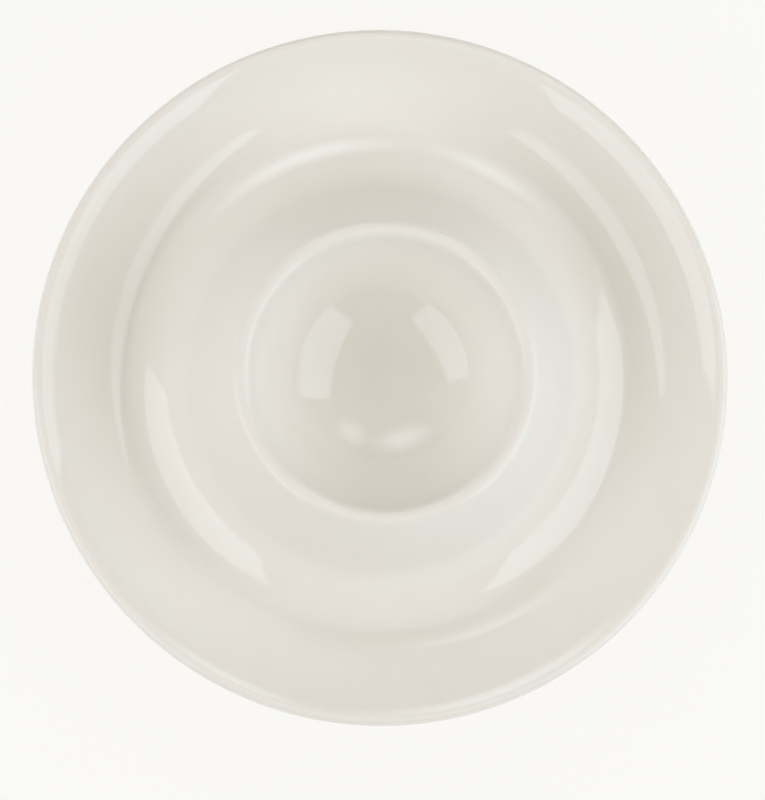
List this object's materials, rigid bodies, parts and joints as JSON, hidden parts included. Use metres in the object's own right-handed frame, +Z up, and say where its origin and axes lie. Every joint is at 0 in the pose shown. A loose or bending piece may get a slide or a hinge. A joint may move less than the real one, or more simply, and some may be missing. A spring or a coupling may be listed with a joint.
{
  "type": "egg cup",
  "caption": "Glazed porcelain egg cup with a round bowl, rolled rim and flared skirt, fixed in the well of a broad shallow saucer on a foot ring.",
  "frame": {"origin": "on the axis of the cup, at table level under the foot ring", "axes": "+Z up along the axis; the turned body is the same all round, so +X is any radius"},
  "size_m": [0.125, 0.125, 0.0276],
  "materials": {
    "saucer": "clear gloss glaze over cream porcelain, bare standing face",
    "slip_joint": "clear gloss glaze over fired slip",
    "cup": "clear gloss glaze over cream porcelain"
  },
  "bodies": {
    "root": {"saucer": "saucer", "slip_joint": "slip_joint", "cup": "cup"}
  },
  "joints": []
}
